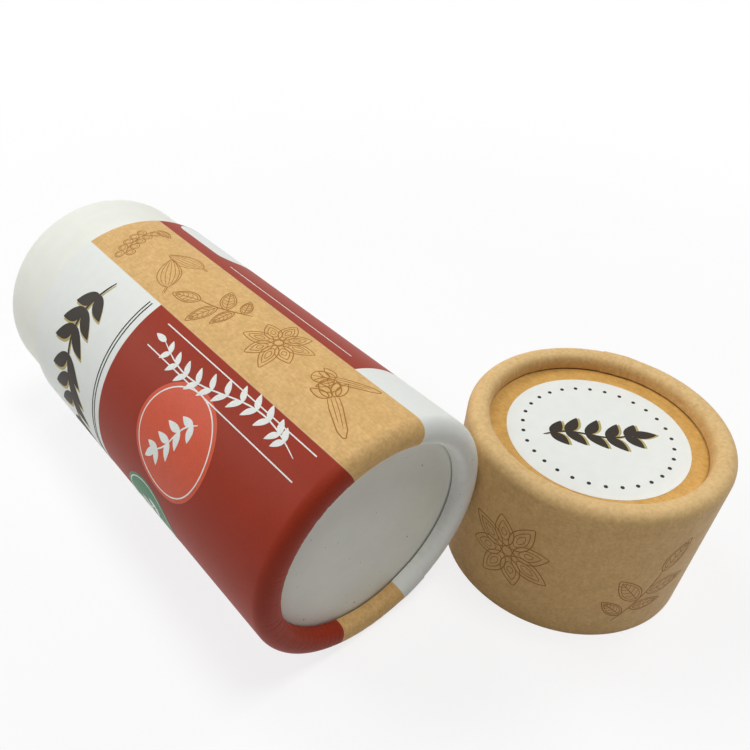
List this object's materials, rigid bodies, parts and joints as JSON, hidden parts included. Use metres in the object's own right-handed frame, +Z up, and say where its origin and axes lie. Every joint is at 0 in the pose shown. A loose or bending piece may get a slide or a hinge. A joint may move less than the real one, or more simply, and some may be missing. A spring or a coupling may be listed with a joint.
{
  "type": "cylindrical gift tube box",
  "caption": "Round paperboard gift tube lying open: printed outer tube with a rolled base and a white neck, and its kraft slip-over lid standing beside it on its mouth.",
  "frame": {"origin": "on the table, midway under the tube and its lid together", "axes": "+Z up; +Y along the lying tube from its rolled base to its open neck; +X from the tube to the lid"},
  "size_m": [0.1084, 0.146, 0.055],
  "materials": {
    "printed_paper": "matte print on kraft paper",
    "kraft_board": "raw wound board",
    "white_board": "matte white paper face",
    "white_card": "smooth matte white card",
    "kraft_paper": "matte kraft",
    "kraft_disc": "matte kraft",
    "sticker_paper": "matte coated white"
  },
  "bodies": {
    "tube": {"body_wrap": "printed_paper", "body_tube": "kraft_board", "neck_tube": "white_board", "neck_facing": "white_card", "base_disc": "white_board"},
    "lid": {"lid_wrap": "kraft_paper", "lid_tube": "kraft_board", "lid_lining": "white_card", "lid_disc": "kraft_disc", "lid_sticker": "sticker_paper"}
  },
  "joints": [
    {"name": "lid_lift", "type": "slide", "parent": "tube", "child": "lid", "axis": [0, 0, 1], "range_m": [0, 0.06]}
  ]
}
